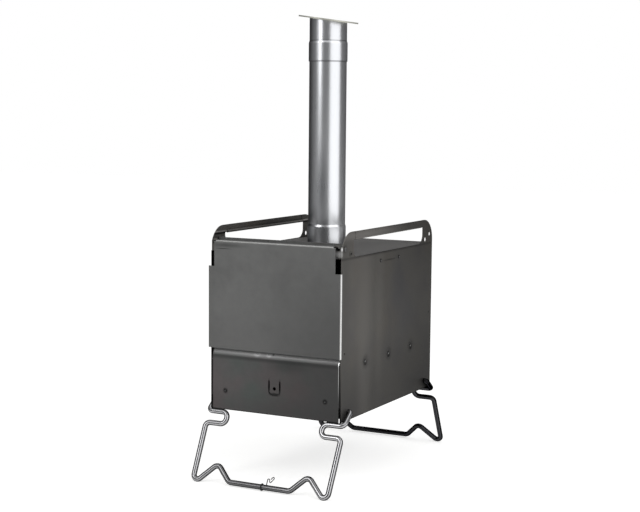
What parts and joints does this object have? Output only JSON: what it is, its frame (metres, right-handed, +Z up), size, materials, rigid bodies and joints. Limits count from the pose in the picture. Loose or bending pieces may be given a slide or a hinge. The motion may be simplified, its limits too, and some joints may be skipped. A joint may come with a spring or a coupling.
{
  "type": "tent stove",
  "caption": "Sheet steel tent stove on splayed bent bar leg frames, with a top hinged front door, carrying handles, a sunken cook plate and a short round flue in its middle.",
  "frame": {"origin": "on the ground, midway between the side panels and midway between the two leg frames", "axes": "+Z up along the flue, the door faces -Y, +X to the right seen from the front"},
  "size_m": [0.2864, 0.5156, 0.8462],
  "materials": {
    "body_sheet": "hot rolled steel sheet, dark grey, faintly mottled, satin",
    "door_sheet": "hot rolled steel sheet, dark grey, with bright bend lines, satin",
    "cook_plate_sheet": "hot rolled steel plate, dark grey, satin",
    "inner_iron": "dark plain iron inside the firebox",
    "leg_bar": "bright drawn steel bar",
    "flue_steel": "brushed stainless steel, bright",
    "flashing_sheet": "pale warm grey sheet, satin",
    "fastener_steel": "plain bright steel",
    "wire_dark": "dark oiled steel wire"
  },
  "bodies": {
    "stove_body": {"side_panel_left": "body_sheet", "side_panel_right": "body_sheet", "floor_tray": "body_sheet", "front_panel": "body_sheet", "back_panel": "body_sheet", "front_rail": "body_sheet", "rail_eyelets": "fastener_steel", "plate_bracket_left": "body_sheet", "plate_bracket_right": "body_sheet", "bracket_rivets": "fastener_steel", "grate_studs": "fastener_steel", "front_rivets": "fastener_steel", "back_rivets": "fastener_steel"},
    "door": {"door": "door_sheet", "hinge_rod": "fastener_steel", "rod_clips": "fastener_steel"},
    "grate": {"grate": "inner_iron"},
    "baffle": {"baffle": "inner_iron"},
    "cook_plate": {"cook_plate": "cook_plate_sheet", "flue_collar": "flue_steel", "collar_rivets": "fastener_steel"},
    "flue_lower": {"flue_lower": "flue_steel"},
    "flue_upper": {"flue_upper": "flue_steel"},
    "flashing_plate": {"flashing_plate": "flashing_sheet"},
    "leg_front": {"leg_frame_front": "leg_bar", "keeper_ring": "wire_dark"},
    "leg_rear": {"leg_frame_rear": "leg_bar"},
    "lock_clip": {"lock_clip": "fastener_steel"}
  },
  "joints": [
    {"name": "door_hinge", "type": "hinge", "parent": "stove_body", "child": "door", "pos_m": [0, -0.1846, 0.4295], "axis": [-1, 0, 0], "range_deg": [0, 95]},
    {"name": "grate_lift", "type": "slide", "parent": "stove_body", "child": "grate", "axis": [0, 0, 1], "range_m": [0, 0.15]},
    {"name": "baffle_slide", "type": "slide", "parent": "stove_body", "child": "baffle", "axis": [0, -1, 0], "range_m": [0, 0.085]},
    {"name": "cook_plate_slide", "type": "slide", "parent": "stove_body", "child": "cook_plate", "axis": [0, 1, 0], "range_m": [0, 0.1]},
    {"name": "flue_lower_lift", "type": "slide", "parent": "cook_plate", "child": "flue_lower", "axis": [0, 0, 1], "range_m": [0, 0.05]},
    {"name": "flue_upper_lift", "type": "slide", "parent": "flue_lower", "child": "flue_upper", "axis": [0, 0, 1], "range_m": [0, 0.05]},
    {"name": "flashing_plate_lift", "type": "slide", "parent": "flue_upper", "child": "flashing_plate", "axis": [0, 0, 1], "range_m": [0, 0.035]},
    {"name": "leg_front_fold", "type": "hinge", "parent": "stove_body", "child": "leg_front", "pos_m": [0, -0.168, 0.14], "axis": [1, 0, 0], "range_deg": [0, 106.3]},
    {"name": "leg_rear_fold", "type": "hinge", "parent": "stove_body", "child": "leg_rear", "pos_m": [0, 0.168, 0.14], "axis": [-1, 0, 0], "range_deg": [0, 106.3]},
    {"name": "lock_clip_turn", "type": "hinge", "parent": "leg_front", "child": "lock_clip", "pos_m": [0.014, -0.25131, 0.00697], "axis": [0, 0.4446, 0.8957], "range_deg": [-90, 90]}
  ]
}
